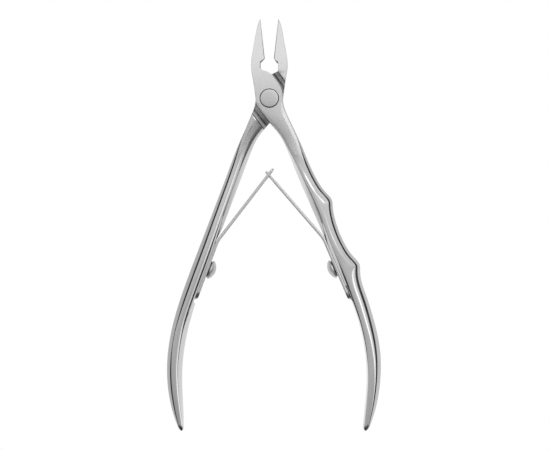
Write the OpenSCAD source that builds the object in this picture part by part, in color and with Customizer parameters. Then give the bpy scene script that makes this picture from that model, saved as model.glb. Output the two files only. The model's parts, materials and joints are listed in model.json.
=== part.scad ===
// Nail and cuticle nipper: two forged steel levers that cross at a riveted lap joint,
// held open by a pair of leaf springs whose tips hook through each other.
//
// Millimetres. The origin is where the pivot axis (+Z) meets the flat back face of the joint.
// +Y runs to the jaw tips. The tool is drawn open, as its springs hold it.

/* [Joint] */
// Thickness of the lap joint, from back face to front face
joint_t = 6.4; // [6.2:0.1:6.6]
// Gap between the two half-thickness laps
lap_gap = 0.04; // [0.02:0.01:0.06]

/* [Pivot rivet] */
// Radius of the rivet's head in the front face
head_r = 2.7; // [2.5:0.05:2.8]
// Depth of the head
head_h = 1.3; // [1.0:0.1:1.6]
// Radius of the shank that the front lever turns on
shank_r = 1.7; // [1.5:0.05:1.8]
// Radius of the closed end in the back face
tail_r = 2.3; // [2.1:0.05:2.4]
// Depth of the closed end
tail_h = 1.0; // [0.8:0.1:1.2]
// Running clearance round the shank
running_gap = 0.04; // [0.02:0.01:0.08]
// Clearance round the head, seen as a ring
head_gap = 0.13; // [0.08:0.01:0.16]

/* [Jaws] */
// Angle that each cutting edge stands open from the middle
open_half = 6.45; // [6.4:0.01:6.5]
// Distance from the pivot to the start of the cutting edge
edge_start = 11.95; // [11.8:0.05:12.1]
// Slope of the hollow ground face behind the edge
hollow_angle = 17; // [14:1:20]
// Width of the ground bevel on the front of the edge
bevel_w = 0.35; // [0.2:0.05:0.4]
// Depth of the bevel
bevel_h = 0.25; // [0.15:0.05:0.3]

/* [Leaf springs] */
// Thickness of the spring strip
leaf_t = 0.95; // [0.85:0.05:1.0]
// Width of the strip at the foot
foot_w = 5.4; // [5.2:0.1:5.6]
// Width of the strip at the tip
tip_w = 4.6; // [4.4:0.1:4.8]
// Length of the left strip's clamped foot below the bend
left_foot_l = 19; // [18.5:0.1:19.5]
// Length of the right strip's clamped foot below the bend
right_foot_l = 20.4; // [19.5:0.1:20.6]
// Distance from the left bend to its screw, along the foot
left_screw_down = 8.9; // [8.5:0.1:9.2]
// Distance from the right bend to its screw, along the foot
right_screw_down = 9.7; // [9.3:0.1:10.0]
// Width of the tongue on the right strip
tongue_w = 2.0; // [1.8:0.1:2.1]
// Length of the window in the left strip
window_l = 2.7; // [2.6:0.1:2.8]
// Clearance on each side of the tongue in the window
window_gap = 0.2; // [0.15:0.05:0.25]
// Clearance at the bend between foot and blade
bend_gap = 0.04; // [0.03:0.01:0.06]

/* [Spring screws] */
// Radius of the round head
screw_head_r = 2.85; // [2.7:0.05:2.9]
// Height of the head's straight rim
screw_rim_h = 0.65; // [0.5:0.05:0.7]
// Height of the dome above the rim
screw_dome_h = 1.5; // [1.3:0.1:1.6]
// Radius of the shank
screw_r = 1.15; // [1.0:0.05:1.2]
// Depth of the shank in the handle
screw_l = 2.6; // [2.2:0.1:2.8]
// Width of the slot in the head
slot_w = 0.7; // [0.5:0.1:0.8]

/* [Hidden] */
$fn = 48;
far = 60;               // longer than anything that a cutter has to reach
mid_z = joint_t / 2;    // plane of the laps and of the springs
steel = "silver";
satin = "gainsboro";
dark_steel = "gray";

// ---- Lever outlines, drawn for the front lever: [y, x of side B, x of side A].
// Side A, to the right, is the outside of the handle. Side B is the outside of the jaw.
// The blank of the jaw stands past the cutting plane, and is ground back to it.
head_plan = [
    [24, -2.9, -1.9], [22, -3.65, -1.65], [20, -4.05, -1.45], [17, -4.6, -1.1],
    [14, -5.15, -0.75], [11.5, -5.55, -0.45], [9.5, -5.6, -0.1], [7.5, -5.3, 0.6],
    [5.5, -4.95, 2.25], [3.5, -4.65, 3.6], [1.5, -4.35, 4.15], [-0.5, -4.15, 4.1],
    [-2.3, -3.8, 4.4], [-4.2, -2.6, 5.1], [-6, -1.2, 5.9]];
// The front lever's handle has two finger stops on its outside
front_plan = [
    [-8, 0.45, 6.9], [-11, 3.2, 8.35], [-14, 4.8, 9.75], [-18, 6.4, 11.35],
    [-22, 8.0, 13.05], [-25, 9.25, 14.65], [-27.5, 10.35, 16.2], [-29.5, 11.25, 18.15],
    [-31, 11.9, 19.15], [-33, 12.75, 19.2], [-36, 14.1, 19.75], [-40, 15.85, 21.0],
    [-44, 17.45, 22.85], [-47, 18.75, 24.6], [-49, 19.6, 26.6], [-50.5, 20.25, 27.65],
    [-52.5, 21.1, 27.55], [-56, 22.6, 28.05], [-61, 24.7, 29.95], [-66, 26.6, 31.45],
    [-72, 28.25, 33.05], [-78, 29.25, 33.95], [-84, 29.7, 33.95], [-90, 29.35, 33.3],
    [-95, 28.85, 32.2], [-99, 28.45, 30.8]];
// The back lever's handle is plain, and is drawn here as if it were on the right
back_plan = [
    [-8, 0.35, 6.7], [-11, 3.0, 8.0], [-14, 4.7, 9.4], [-18, 6.25, 11.0],
    [-24, 8.45, 13.15], [-31, 11.1, 15.85], [-38, 13.7, 18.5], [-46, 16.75, 21.6],
    [-54, 19.7, 24.65], [-62, 22.4, 27.5], [-69, 24.5, 29.5], [-75, 25.75, 30.65],
    [-81, 26.45, 31.2], [-87, 26.5, 31.0], [-92, 26.2, 30.2], [-96, 26.0, 29.2],
    [-99, 25.9, 28.05]];
// Section of a lever along y: depth and its shift to the front, bulge of each side,
// corner size, and how far the faces are crowned
depth_at = [[-99, 5.0], [-92, 6.0], [-80, 6.6], [8, 6.6], [24, 1.5]];
shift_at = [[8, 0], [24, 0.55]];
bulge_a_at = [[-99, 0.5], [-85, 1.0], [-20, 1.0], [-7, 0.3], [24, 0.2]];
bulge_b_at = [[-99, 0.3], [-85, 0.55], [-18, 0.5], [-7, 0.2], [6, 0.3], [12, 0.6], [24, 0.3]];
corner_at = [[-99, 0.6], [-85, 1.0], [-20, 1.0], [-8, 0.7], [8, 0.7], [24, 0.3]];
crown_at = [[-99, 0.1], [-85, 0.25], [-22, 0.25], [-12, 0.05], [24, 0.05]];
tail_dome = 1.9; // length of the rounded tail past the last station

// ---- Shoulders of the lap on the front lever, as lines across it
top_shoulder = [[-2.55, 8.4], [-4.76, 5.28]];
low_shoulder = [[1.91, -9.1], [5.19, -4.88]];
// Opening between the blade and the lap
notch_plan = [[-1.36, edge_start], [-2.72, 10.9], [-2.6, 9.0], [0.64, 7.4], [5, 8.2],
              [5, edge_start]];
jaw_fall = atan(1.9 / 16); // slope of the jaw's front face to its tip

// ---- Spring layout on the plane of the laps
left_bend = [-15.7, -43.3];
right_bend = [16.45, -42.45];
cross_point = [-0.2, -23.15];
left_lie = -20.2;     // turn of the left foot from -Y
right_lie = 23.1;     // turn of the right foot from -Y
tip_past = 2.6;       // reach of the left strip past the crossing
tongue_past = 1.4;    // reach of the right strip's tongue past the crossing
tongue_before = 1.9;  // start of the tongue before the crossing
barrel_r = leaf_t / 2 - 0.02;
ramp = [0.6, 4.5];    // rise and reach of the run-out above each spring seat

// Turn from +Y of the line from one point to another
function lean(from, to) = atan2(from[0] - to[0], to[1] - from[1]);

// ---- Loft of a lever through its stations
function station(p) =
    let (y = p[0], half = lookup(y, depth_at) / 2, z = mid_z + lookup(y, shift_at))
    [y, p[1], p[2], z - half, z + half,
     lookup(y, bulge_b_at), lookup(y, bulge_a_at), lookup(y, corner_at), lookup(y, crown_at)];

// One quarter of a section, from the middle of a side to the middle of a face:
// w and h are the half sizes, b the side's bulge, r the corner and c the crown
function quarter(w, h, b, r, c) =
    [[w, 0], [w - b * 0.3, (h - c - r) * 0.6], [w - b, h - c - r],
     [w - b - r * 0.3, h - c - r * 0.3], [w - b - r, h - c]];
// The closed section of a station as [x, z] points, scaled about its centre
function section(s, size) =
    let (w = (s[2] - s[1]) / 2, h = (s[4] - s[3]) / 2,
         xm = (s[2] + s[1]) / 2, zm = (s[4] + s[3]) / 2,
         k = min(1, w / 2.2),
         a = quarter(w, h, s[6] * k, s[7] * k, s[8]),
         b = quarter(w, h, s[5] * k, s[7] * k, s[8]),
         n = len(a) - 1,
         loop = [for (i = [0:n]) a[i],
                 [0, h],
                 for (i = [n:-1:1]) [-b[i][0], b[i][1]],
                 for (i = [0:n]) [-b[i][0], -b[i][1]],
                 [0, -h],
                 for (i = [n:-1:1]) [a[i][0], -a[i][1]]])
    [for (p = loop) [xm + p[0] * size, zm + p[1] * size]];
function ring(s, size = 1, dy = 0) = [for (p = section(s, size)) [p[0], s[0] + dy, p[1]]];

module loft(plan) {
    stations = [for (p = plan) station(p)];
    last = stations[len(stations) - 1];
    rings = [for (s = stations) ring(s),
             for (a = [30, 55, 75]) ring(last, cos(a), -tail_dome * sin(a))];
    m = len(rings[0]);
    n = len(rings);
    polyhedron(
        points = [for (r = rings) each r],
        faces = [
            [for (i = [0:m - 1]) i],
            [for (i = [m - 1:-1:0]) (n - 1) * m + i],
            for (j = [0:n - 2]) for (i = [0:m - 1]) each
                let (a = j * m + i, b = j * m + (i + 1) % m)
                [[a, b + m, b], [a, a + m, b + m]]]);
}

// ---- Cutters, drawn for the front lever
function stretch(l, d) = let (u = (l[1] - l[0]) / norm(l[1] - l[0])) [l[0] - d * u, l[1] + d * u];

// A half-thickness pocket between the two shoulders, from height z up
module lap_pocket(z) {
    translate([0, 0, z])
        linear_extrude(mid_z + lap_gap / 2 + 1)
            polygon([each stretch(top_shoulder, 10), each stretch(low_shoulder, 10)]);
}

module notch() {
    translate([0, 0, -1])
        linear_extrude(joint_t + 2)
            polygon(notch_plan);
}

// Grinds the jaw back to its cutting edge: a sloping face behind, a narrow bevel in front
module jaw_grind() {
    reach = 16;
    back = 9;
    rotate([0, 0, open_half])
        translate([0, 8, joint_t])
            rotate([90 - jaw_fall, 0, 0])
                translate([0, 0, -(edge_start - 8) - reach])
                    linear_extrude(reach)
                        polygon([[0, -bevel_h], [-bevel_w * 3, bevel_h * 2], [6, 3],
                                 [6, -back], [-tan(hollow_angle) * back, -back - bevel_h]]);
}

module lever_blank(plan, pocket_z) {
    difference() {
        intersection() {
            loft(concat(head_plan, plan));
            translate([-far, -2 * far, 0]) cube([2 * far, 3 * far, joint_t]);
        }
        lap_pocket(pocket_z);
        notch();
        jaw_grind();
    }
}

// ---- Springs and screws. In their own frame a handle's inner face is at x = -leaf_t / 2,
// the foot runs down -y from the bend and the strip's width lies along z.
module at_bend(bend, turn) {
    translate([bend[0], bend[1], mid_z]) rotate([0, 0, turn]) children();
}

module strip() {
    rotate([90, 0, 90]) linear_extrude(leaf_t, center = true) children();
}

// Cuts a flat seat for the foot, with a ramp at its upper end, and the screw's hole
module spring_seat(foot_l, screw_down) {
    low = -foot_l - 0.6;
    translate([-leaf_t / 2, 0, -mid_z - 1])
        linear_extrude(joint_t + 2)
            polygon([[0, 0.3], [0, low], [1.5, low - 1.5], [4, low - 1.5], [4, ramp[1]], ramp]);
    translate([-leaf_t / 2 - screw_l, -screw_down, 0])
        rotate([0, 90, 0]) cylinder(r = screw_r, h = screw_l + 1);
}

module spring_foot(foot_l, screw_down) {
    square_l = foot_l - foot_w / 2;
    strip()
        difference() {
            union() {
                translate([-square_l, -foot_w / 2]) square([square_l, foot_w]);
                translate([-square_l, 0]) circle(d = foot_w);
            }
            translate([-screw_down, 0]) circle(r = screw_r + window_gap / 2);
        }
    cylinder(r = barrel_r, h = foot_w, center = true);
}

// Outline of a strip that tapers from the bend to an end of half width e at length l
module blade_plan(l, e) {
    polygon([[0, -foot_w / 2], [l - 0.8, -e], [l, -e + 0.8], [l, e - 0.8], [l - 0.8, e],
             [0, foot_w / 2]]);
}

module bend_socket() {
    cylinder(r = barrel_r + bend_gap, h = foot_w + 1, center = true);
}

module spring_screw(screw_down) {
    dome_r = (screw_head_r * screw_head_r + screw_dome_h * screw_dome_h) / (2 * screw_dome_h);
    top = screw_rim_h + screw_dome_h;
    difference() {
        translate([leaf_t / 2, -screw_down, 0]) rotate([0, 90, 0]) {
            intersection() {
                cylinder(r = screw_head_r, h = top);
                translate([0, 0, top - dome_r]) sphere(r = dome_r, $fn = 96);
            }
            translate([0, 0, -leaf_t - screw_l]) cylinder(r = screw_r, h = leaf_t + screw_l + 0.2);
        }
        translate([leaf_t / 2 + top - 0.8, -screw_down - foot_w, -slot_w / 2])
            cube([2, 2 * foot_w, slot_w]);
    }
}

// ---- The pieces
module back_lever() {
    color(satin)
        difference() {
            mirror([1, 0, 0]) lever_blank(back_plan, mid_z - lap_gap / 2);
            translate([0, 0, -1]) cylinder(r = shank_r, h = far);
            translate([0, 0, -1]) cylinder(r = tail_r, h = tail_h + 1);
            at_bend(left_bend, left_lie) spring_seat(left_foot_l, left_screw_down);
        }
}

module front_lever() {
    color(steel)
        difference() {
            lever_blank(front_plan, -1);
            translate([0, 0, -1]) cylinder(r = shank_r + running_gap, h = far);
            translate([0, 0, joint_t - head_h - lap_gap / 2]) cylinder(r = head_r + head_gap, h = far);
            at_bend(right_bend, right_lie)
                mirror([1, 0, 0]) spring_seat(right_foot_l, right_screw_down);
        }
}

module pivot_rivet() {
    color(dark_steel)
        rotate_extrude()
            polygon([[0, 0], [tail_r, 0], [tail_r, tail_h], [shank_r, tail_h],
                     [shank_r, joint_t - head_h], [head_r, joint_t - head_h],
                     [head_r, joint_t - 0.1], [head_r - 0.1, joint_t], [0, joint_t]]);
}

module left_spring_foot() {
    color(steel) at_bend(left_bend, left_lie) spring_foot(left_foot_l, left_screw_down);
}

module left_spring_blade() {
    cross = norm(cross_point - left_bend);
    color(satin)
        at_bend(left_bend, lean(left_bend, cross_point))
            difference() {
                strip()
                    difference() {
                        blade_plan(cross + tip_past, tip_w / 2);
                        translate([cross - window_l / 2, -tongue_w / 2 - window_gap])
                            square([window_l, tongue_w + 2 * window_gap]);
                    }
                bend_socket();
            }
}

module left_spring_screw() {
    color(dark_steel) at_bend(left_bend, left_lie) spring_screw(left_screw_down);
}

module right_spring_foot() {
    color(steel)
        at_bend(right_bend, right_lie)
            mirror([1, 0, 0]) spring_foot(right_foot_l, right_screw_down);
}

module right_spring_blade() {
    cross = norm(cross_point - right_bend);
    color(satin)
        at_bend(right_bend, lean(right_bend, cross_point))
            difference() {
                strip() {
                    blade_plan(cross - tongue_before, tip_w / 2);
                    translate([1, -tongue_w / 2]) square([cross + tongue_past - 1, tongue_w]);
                }
                bend_socket();
            }
}

module right_spring_screw() {
    color(dark_steel)
        at_bend(right_bend, right_lie) mirror([1, 0, 0]) spring_screw(right_screw_down);
}

back_lever();
front_lever();
pivot_rivet();
left_spring_foot();
left_spring_blade();
left_spring_screw();
right_spring_foot();
right_spring_blade();
right_spring_screw();
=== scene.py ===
import json
import math

import bmesh
import bpy
import numpy as np
from mathutils import Matrix, Vector


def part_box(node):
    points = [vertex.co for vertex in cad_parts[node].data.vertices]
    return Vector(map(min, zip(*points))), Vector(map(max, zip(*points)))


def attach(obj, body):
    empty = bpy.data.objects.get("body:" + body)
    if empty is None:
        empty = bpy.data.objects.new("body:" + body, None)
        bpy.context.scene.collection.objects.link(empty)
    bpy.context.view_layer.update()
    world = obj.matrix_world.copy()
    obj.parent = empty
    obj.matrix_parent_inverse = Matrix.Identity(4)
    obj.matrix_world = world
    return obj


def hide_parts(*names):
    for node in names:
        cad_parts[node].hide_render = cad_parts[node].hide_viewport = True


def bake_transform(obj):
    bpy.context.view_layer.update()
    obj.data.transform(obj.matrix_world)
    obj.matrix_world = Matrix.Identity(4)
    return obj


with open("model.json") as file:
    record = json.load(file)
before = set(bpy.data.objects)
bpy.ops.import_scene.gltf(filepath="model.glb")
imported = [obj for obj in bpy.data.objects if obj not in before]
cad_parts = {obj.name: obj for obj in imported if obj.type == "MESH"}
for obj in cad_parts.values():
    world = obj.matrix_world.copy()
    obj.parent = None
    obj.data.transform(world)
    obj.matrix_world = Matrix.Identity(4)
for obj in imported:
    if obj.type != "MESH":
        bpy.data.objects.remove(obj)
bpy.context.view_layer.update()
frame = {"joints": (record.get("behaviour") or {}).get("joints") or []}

# Everything below is drawn in millimetres and turned into metres by make_mesh.
MM = 0.001
joints = {j["name"]: j for j in frame["joints"]}


def joint_point(name):
    """A joint's place in the plan, in mm."""
    return np.array(joints[name]["pos_m"][:2]) / MM


JOINT_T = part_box("pivot_rivet")[1].z / MM          # thickness of the lap joint
MID_Z = JOINT_T / 2                                # plane of the laps and of the springs
LAP_GAP = 0.04                                     # between the two laps
HEAD_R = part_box("pivot_rivet")[1].x / MM           # the rivet's head
HEAD_H = 1.3
TAIL_R = 2.3                                       # the rivet's closed end
TAIL_H = 1.0
TAIL_CHAMFER = 0.08
SHANK_R = 1.7
HEAD_GAP = 0.18                                    # ring round the head
LEFT_BEND = joint_point("left_spring_flex")
RIGHT_BEND = joint_point("right_spring_flex")
CROSS = np.array([-0.2, -23.15])                   # where the springs cross
LEFT_LIE, RIGHT_LIE = math.radians(-20.2), math.radians(23.1)      # lean of the springs' feet
LEAF_T = 0.95                                      # thickness of the springs
LEFT_FOOT, RIGHT_FOOT = 19.0, 20.4                 # feet below the bends
LEFT_SCREW, RIGHT_SCREW = 8.9, 9.7                 # screws below the bends
OPEN_HALF = math.radians(6.45)                     # each cutting edge from the middle
EDGE_START = 11.95                                 # where the cutting edges start, along y

# ---------------------------------------------------------------- outlines of the levers
# [y, x of side B, x of side A] as in the CAD part: side A is the outside of the handle,
# side B the outside of the jaw. The back lever is drawn on the right and then mirrored.
HEAD_PLAN = [
    [24, -2.9, -1.9], [22, -3.65, -1.65], [20, -4.05, -1.45], [17, -4.6, -1.1],
    [14, -5.15, -0.75], [11.5, -5.55, -0.45], [9.5, -5.6, -0.1], [7.5, -5.3, 0.6],
    [5.5, -4.95, 2.25], [3.5, -4.65, 3.6], [1.5, -4.35, 4.15], [-0.5, -4.15, 4.1],
    [-2.3, -3.8, 4.4], [-4.2, -2.6, 5.1], [-6, -1.2, 5.9]]
FRONT_PLAN = [
    [-8, 0.45, 6.9], [-11, 3.2, 8.35], [-14, 4.8, 9.75], [-18, 6.4, 11.35],
    [-22, 8.0, 13.05], [-25, 9.25, 14.65], [-27.5, 10.35, 16.2], [-29.5, 11.25, 18.2],
    [-31, 11.9, 19.3], [-33, 12.75, 19.2], [-36, 14.1, 19.75], [-40, 15.85, 20.95],
    [-44, 17.45, 22.8], [-47, 18.75, 24.6], [-49, 19.6, 26.6], [-50.5, 20.25, 27.75],
    [-52.5, 21.1, 27.5], [-56, 22.6, 28.0], [-61, 24.7, 29.95], [-66, 26.6, 31.45],
    [-72, 28.25, 33.05], [-78, 29.25, 33.95], [-84, 29.7, 33.95], [-90, 29.35, 33.3],
    [-95, 28.85, 32.2], [-99, 28.45, 30.8]]
BACK_PLAN = [
    [-8, 0.35, 6.7], [-11, 3.0, 8.0], [-14, 4.7, 9.4], [-18, 6.25, 11.0],
    [-24, 8.45, 13.15], [-31, 11.1, 15.85], [-38, 13.7, 18.5], [-46, 16.75, 21.6],
    [-54, 19.7, 24.65], [-62, 22.4, 27.5], [-69, 24.5, 29.5], [-75, 25.75, 30.65],
    [-81, 26.45, 31.2], [-87, 26.5, 31.0], [-92, 26.2, 30.2], [-96, 26.0, 29.2],
    [-99, 25.9, 28.05]]

# How the section changes along y, as (y, value) knots: the height of the crest and of the
# back, and how far the ground front face lies below the crest.
TOP = [(-99, 6.1), (-92, 6.25), (-82, 6.36), (-52, 6.36), (-45, 6.3), (-36, 6.07), (-28, 5.78),
       (-22, 5.56), (-18, 5.5), (-14, 5.69), (-10, 6.01), (-6, 6.3), (-2, 6.46), (3, 6.69),
       (7, 6.67), (11, 6.38), (16, 5.82), (24, 4.9)]
GROUND_BELOW = [(-26, -1.0), (-22, -0.35), (-18, 0.0), (-14, 0.03), (-10, 0.04), (-6, 0.05),
                (-2, 0.08), (3, 0.3), (7, 0.4), (24, 0.4)]
BOTTOM = [(-99, 0.7), (-92, 0.3), (-82, 0.02), (-17, 0.02), (-12, -0.2), (8, -0.2), (24, 3.0)]
FACE_SLOPE = math.radians(2.2)       # at the edges of the crowned face

# Each side, from the outline inwards: a band that leans in, a shelf behind a spring's foot,
# a steep facet that shows as a dark line, a fall towards the face, and a soft shoulder that
# starts at a given tilt.
FRONT_A = {
    "band": [(-99, 0.45), (-95, 0.8), (-88, 1.05), (-75, 1.05), (-66, 0.9), (-55, 0.8), (-38, 0.75),
             (-33, 0.68), (-22, 0.62), (-14, 0.5), (-11, 0.1), (24, 0.1)],
    "shelf": [(-99, 0), (24, 0)],
    "facet": [(-99, 0.2), (-88, 0.35), (-75, 0.5), (-45, 0.54), (-18, 0.48), (-14, 0.05),
              (-11, 0.02), (24, 0.02)],
    "steep": [(-99, 1), (24, 1)],
    "fall": [(-99, 0.1), (-85, 0.15), (-75, 0.5), (-66, 0.8), (-52.5, 0.85), (-50.5, 0.1),
             (-49, 0.02), (-18, 0.02), (-14, 0.1), (24, 0.1)],
    "soft": [(-99, 0.3), (-75, 0.5), (-52, 0.7), (-45, 1.0), (-18, 1.2), (-12, 1.6), (-4, 1.5),
             (3, 0.4), (24, 0.3)],
    "tilt": [(-99, 6), (-85, 8), (-78, 13), (-52.5, 14), (-50.5, 3), (-18, 3), (-14, 10), (-11, 18),
             (-4, 18), (3, 9), (24, 8)]}
FRONT_B = {
    "band": [(-99, 0.3), (-66, 0.35), (-61, 0.14), (-44, 0.12), (-40, 0.8), (-36, 1.4), (-33, 1.5),
             (-29, 1.35), (-25, 1.2), (-22, 1.0), (-18, 0.6), (-14, 0.2), (24, 0.1)],
    "shelf": [(-66, 0), (-61, 0.22), (-56, 0.4), (-52.5, 0.55), (-50.5, 0.7), (-44, 0.8),
              (-40, 0.3), (-36, 0), (24, 0)],
    "facet": [(-99, 0.03), (-84, 0.03), (-78, 0.15), (-70, 0.28), (-61, 0.3), (-56, 0.5),
              (-52.5, 0.4), (-50.5, 0.4), (-49, 0.35), (-29, 0.35), (-22, 0.15), (-16, 0.02),
              (24, 0.02)],
    "steep": [(-61, 0.9), (-56, 0.9), (-52.5, 0.6), (-50.5, 0.3), (-47, 0.2), (-36, 0.2), (24, 0.1)],
    "fall": [(-99, 0.08), (-50, 0.1), (-20, 0.12), (24, 0.1)],
    "soft": [(-99, 0.5), (-50, 0.4), (-8, 0.4), (24, 0.3)],
    "tilt": [(-99, 8), (24, 7)]}
BACK_A = {
    "band": [(-99, 0.5), (-90, 0.85), (-79, 1.0), (-60, 1.05), (-46, 1.0), (-31, 0.8), (-24, 0.72),
             (-18, 0.68), (-14, 0.2), (-11, 0.08), (24, 0.1)],
    "shelf": [(-99, 0), (24, 0)],
    "facet": [(-99, 0.25), (-92, 0.42), (-81, 0.42), (-78, 0.12), (-67, 0.18), (-62, 0.48),
              (-22, 0.52), (-18, 0.5), (-14, 0.4), (-11, 0.02), (24, 0.02)],
    "steep": [(-99, 1), (24, 1)],
    "fall": [(-99, 0.06), (24, 0.06)],
    "soft": [(-99, 0.35), (-18, 0.35), (-12, 0.9), (-5, 0.9), (3, 0.3), (24, 0.3)],
    "tilt": [(-99, 5), (-18, 5), (-12, 12), (-5, 12), (3, 7), (24, 7)]}
BACK_B = {
    "band": [(-99, 0.5), (-84, 1.3), (-75, 1.2), (-69, 1.35), (-62, 0.66), (-54, 0.3), (-46, 0.25),
             (-38, 1.0), (-31, 1.55), (-24, 1.55), (-18, 1.3), (-14, 1.0), (-9.6, 0.5), (-4, 0.2),
             (24, 0.1)],
    "shelf": [(-69, 0), (-62, 0.35), (-54, 0.46), (-46, 0.5), (-38, 0.35), (-31, 0), (24, 0)],
    "facet": [(-99, 0.02), (-88, 0.02), (-82, 0.1), (-76, 0.15), (-70, 0.25), (-64, 0.36),
              (-54, 0.4), (-46, 0.38), (-38, 0.2), (-31, 0.04), (-24, 0.08), (-18, 0.45),
              (-14, 1.0), (-9, 1.3), (-5, 0.5), (0, 0.05), (24, 0.02)],
    "steep": [(-81, 0.5), (-75, 0.7), (-69, 1), (-54, 1), (-46, 0.8), (-38, 0.3), (-31, 0),
              (-24, 0.1), (-18, 0.8), (-14, 1), (24, 1)],
    "fall": [(-99, 0.06), (-40, 0.06), (-33, 0.1), (-29, 0.3), (-24, 0.5), (-19, 0.6), (-14, 1.0),
             (-9, 1.6), (-5, 1.0), (0, 0.1), (24, 0.05)],
    "soft": [(-99, 0.6), (-62, 0.78), (-31, 0.78), (-9, 0.6), (0, 0.4), (24, 0.3)],
    "tilt": [(-99, 14), (-19, 14), (-9, 10), (0, 7), (24, 7)]}
FACET_LOW, FACET_HIGH = math.radians(43), math.radians(32)      # where steep is 1
SOFT_LOW, SOFT_HIGH = math.radians(28), math.radians(25)        # where steep is 0
BAND_SPREAD = math.radians(3)        # between a band's middle and its edges
SHELF = math.radians(24)             # tilt of a full shelf
STEEPEST = math.radians(84)          # no band is steeper
CORNER = 0.04                        # width of the small roundings between the parts of a side
LEAST_SHELF, FULL_SHELF = 0.004, 0.1     # widths of no shelf and of a fully tilted one
SIDES_SHARE = 0.86                   # of a section's width, at most, for its two sides
FACE_N = 9                           # points across a face
STEPS = 7                            # slices between two stations
TAIL_DOME = 1.85                     # rounded tail past the last station
TAIL_THIN = 0.8                      # share of the height left at the tail's end

# Lap shoulders and the notch behind the blades, drawn for the front lever.
TOP_SHOULDER = np.array([[-2.55, 8.4], [-4.76, 5.28]])
LOW_SHOULDER = np.array([[1.91, -9.1], [5.19, -4.88]])
FRONT_NOTCH = [[-1.36, EDGE_START], [-2.68, 10.85], [-2.6, 9.1], [-1.95, 8.53], [-0.77, 8.17],
               [0.55, 7.38], [5, 8.2], [5, EDGE_START]]
FRONT_NOTCH_FLARE = [1.0, 0.5, 0.1, 0.1, 0.1, 0.0, 0.0, 0.0]
BACK_NOTCH = [[-1.5, EDGE_START], [-2.1, 11.1], [-2.65, 10.6], [-2.62, 8.35], [-0.6, 7.35],
              [5, 8.2], [5, EDGE_START]]
BACK_NOTCH_FLARE = [0.15, 1.0, 0.15, 0.05, 0.0, 0.0, 0.0]
# Grooves in the back lever's lap, as distances from a shoulder.
TOP_GROOVES = [(0.02, 0.16), (0.6, 0.72), (1.02, 1.7)]
LOW_GROOVES = [(-0.06, 0.3), (0.9, 1.0), (1.15, 1.65)]
GROOVE_TILT = math.radians(34)


# ---------------------------------------------------------------- mesh helpers
def make_mesh(name, verts, faces, materials):
    """A mesh object from points in mm, with its faces turned the right way out."""
    mesh = bpy.data.meshes.new(name)
    mesh.from_pydata([Vector(v) * MM for v in verts], [], [list(f) for f in faces])
    bm = bmesh.new()
    bm.from_mesh(mesh)
    bmesh.ops.remove_doubles(bm, verts=bm.verts, dist=1e-7)
    bmesh.ops.recalc_face_normals(bm, faces=bm.faces)
    bm.to_mesh(mesh)
    bm.free()
    obj = bpy.data.objects.new(name, mesh)
    bpy.context.scene.collection.objects.link(obj)
    for m in materials:
        mesh.materials.append(m)
    return obj


def apply_modifiers(obj):
    """Puts the result of an object's modifiers in place of its mesh."""
    bpy.context.view_layer.update()
    graph = bpy.context.evaluated_depsgraph_get()
    mesh = bpy.data.meshes.new_from_object(obj.evaluated_get(graph), depsgraph=graph)
    old = obj.data
    obj.modifiers.clear()
    obj.data = mesh
    bpy.data.meshes.remove(old)


def cut(obj, cutters):
    """Takes each cutter out of obj, then deletes the cutters. Cut faces keep their material."""
    for c in cutters:
        m = obj.modifiers.new(c.name, "BOOLEAN")
        m.operation = "DIFFERENCE"
        m.solver = "MANIFOLD"
        m.material_mode = "TRANSFER"
        m.object = c
    apply_modifiers(obj)
    for c in cutters:
        mesh = c.data
        bpy.data.objects.remove(c)
        bpy.data.meshes.remove(mesh)


def shade(obj, angle=20):
    """Smooth shading, split at edges sharper than angle."""
    mesh = obj.data
    bm = bmesh.new()
    bm.from_mesh(mesh)
    bmesh.ops.dissolve_degenerate(bm, dist=1e-7, edges=bm.edges)
    for f in bm.faces:
        f.smooth = True
    for e in bm.edges:
        fs = e.link_faces
        if len(fs) != 2:
            continue
        e.smooth = fs[0].normal.angle(fs[1].normal, 0) < math.radians(angle)
    bm.to_mesh(mesh)
    bm.free()


def loft(name, rings, materials, place=None):
    """A closed piece through rings of the same number of points, moved by place if given."""
    m, n = len(rings[0]), len(rings)
    verts = [p for r in rings for p in r]
    if place is not None:
        verts = [place @ Vector(v) for v in verts]
    faces = [(j * m + i, j * m + (i + 1) % m, (j + 1) * m + (i + 1) % m, (j + 1) * m + i)
             for j in range(n - 1) for i in range(m)]
    faces.append(tuple(range(m)))
    faces.append(tuple(range((n - 1) * m, n * m)))
    return make_mesh(name, verts, faces, materials)


def prism(name, plan, levels, material, flare=None, place=None):
    """A cutter: a plan polygon at several heights, levels = [(z, outward offset), ...].
    flare scales the offset for each edge."""
    pts = np.array(plan, float)
    n = len(pts)
    area = sum(pts[i][0] * pts[(i + 1) % n][1] - pts[(i + 1) % n][0] * pts[i][1] for i in range(n))
    side = 1 if area > 0 else -1
    flare = flare or [1.0] * n
    edges = []
    for i in range(n):
        d = pts[(i + 1) % n] - pts[i]
        d /= np.linalg.norm(d)
        edges.append((pts[i], d, side * np.array([d[1], -d[0]])))
    rings = []
    for z, out in levels:
        ring = []
        for i in range(n):
            p0, d0, n0 = edges[i - 1]
            p1, d1, n1 = edges[i]
            a = p0 + n0 * out * flare[i - 1]
            b = p1 + n1 * out * flare[i]
            t = np.linalg.solve(np.array([d0, -d1]).T, b - a)[0]
            ring.append((*(a + d0 * t), z))
        rings.append(ring)
    return loft(name, rings, [material], place)


AROUND = 96            # points round a turned piece


def revolve(name, profile, material, place=None):
    """A closed piece turned about z from [r, z] points that start and end on the axis. Its
    ends are flat inside their next points."""
    rings = [[(r * math.cos(a), r * math.sin(a), z)
              for a in np.linspace(0, 2 * math.pi, AROUND, endpoint=False)] for r, z in profile[1:-1]]
    return loft(name, rings, [material], place)


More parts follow.
